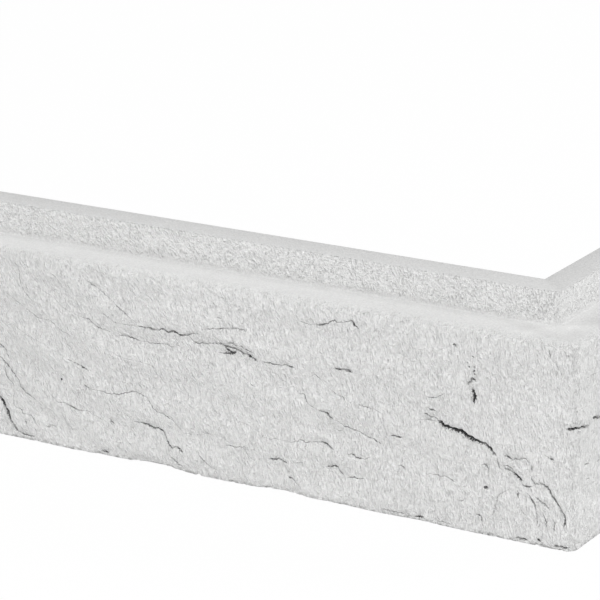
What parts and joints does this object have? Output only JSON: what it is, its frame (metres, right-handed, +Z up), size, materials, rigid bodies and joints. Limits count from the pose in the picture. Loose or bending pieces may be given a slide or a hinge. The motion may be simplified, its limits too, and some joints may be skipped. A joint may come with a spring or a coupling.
{
  "type": "concrete brick slip corner",
  "caption": "L-shaped corner slip of cast concrete with a hand-moulded brick face on both outer sides and a thinner mortar-joint flange along its top",
  "frame": {"origin": "the inside arris of the L, where the two bonding faces meet, at the bed plane", "axes": "+Z up the inside arris; the long leg runs along -X with its bonding face on y = 0 and its brick face towards -Y; the short leg runs along +Y with its bonding face on x = 0 and its brick face towards +X"},
  "size_m": [0.2505, 0.1207, 0.076],
  "materials": {
    "concrete": "matte"
  },
  "bodies": {
    "root": {"corner_slip": "concrete"}
  },
  "joints": []
}
